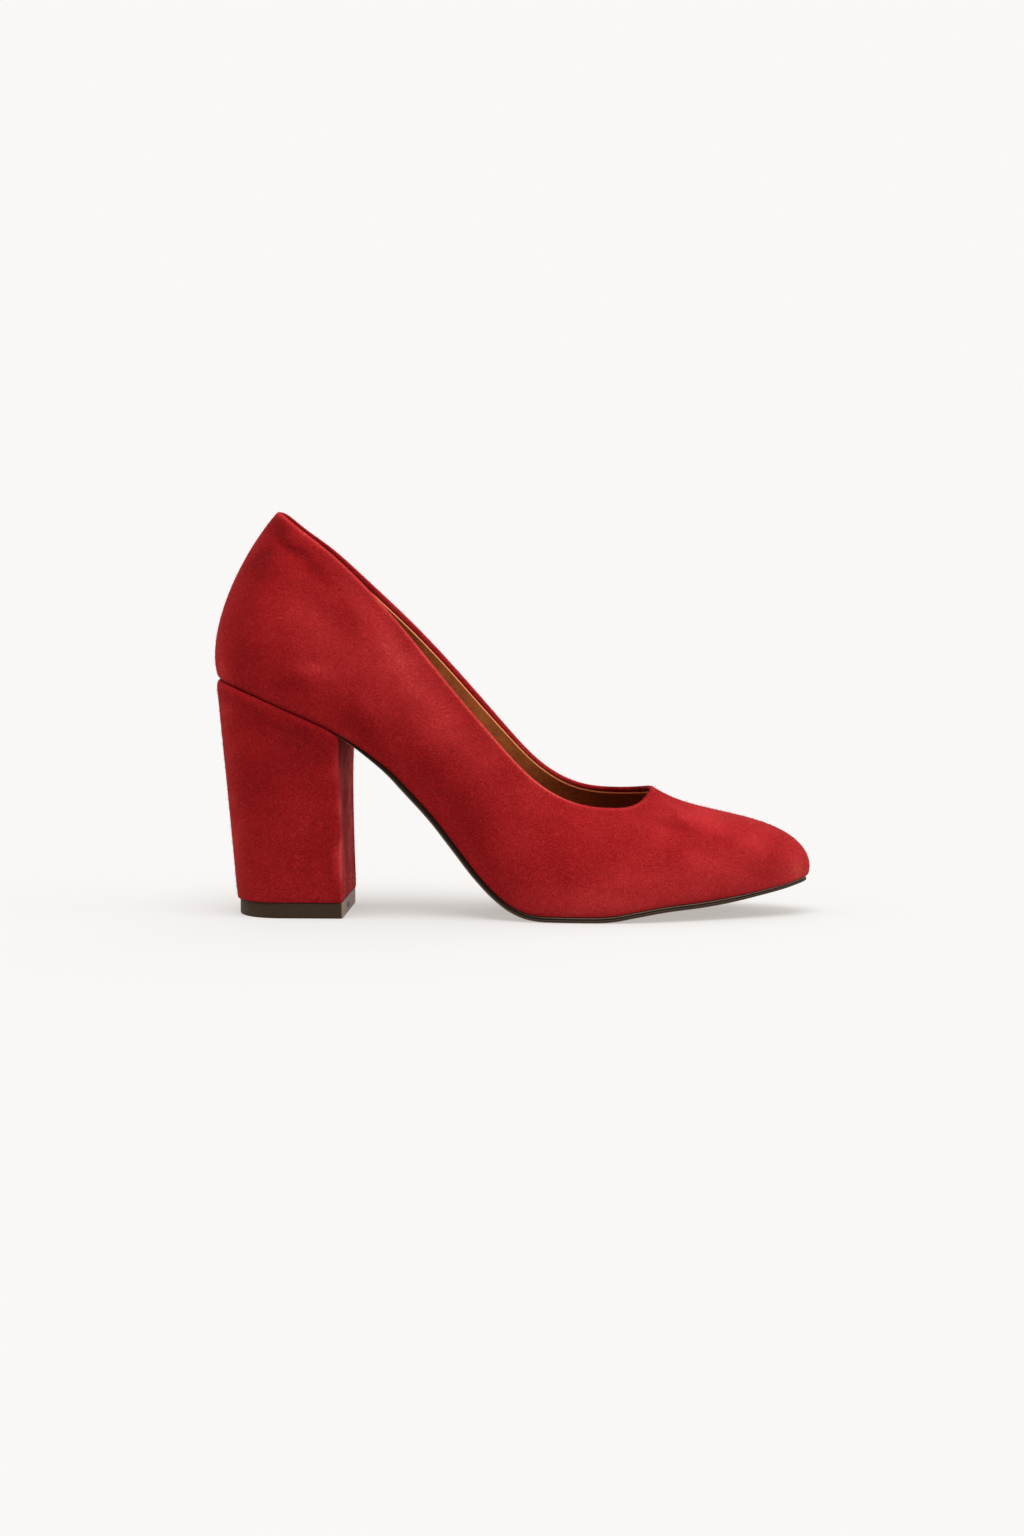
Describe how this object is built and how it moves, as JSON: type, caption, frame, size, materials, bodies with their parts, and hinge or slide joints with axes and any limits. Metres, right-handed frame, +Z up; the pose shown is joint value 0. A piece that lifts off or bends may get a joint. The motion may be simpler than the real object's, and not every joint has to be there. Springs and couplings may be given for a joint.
{
  "type": "block heel pump",
  "caption": "Closed low-cut court shoe for the right foot, with a high straight block heel, an almond toe, a suede upper and a thin dark sole.",
  "frame": {"origin": "middle of the shoe's outline in plan, on the surface that it stands on", "axes": "+X to the toe, +Y to the inner side of the foot, +Z up"},
  "size_m": [0.224, 0.0772, 0.1506],
  "materials": {
    "red_suede": "brushed red suede",
    "heel_cover": "red suede wrapped over the heel block",
    "sock_leather": "smooth tan lining leather",
    "sole_resin": "dark brown, satin",
    "top_piece_rubber": "dark brown, matt"
  },
  "bodies": {
    "root": {"upper": "red_suede", "insole": "sock_leather", "outsole": "sole_resin", "heel": "heel_cover", "top_piece": "top_piece_rubber"}
  },
  "joints": []
}
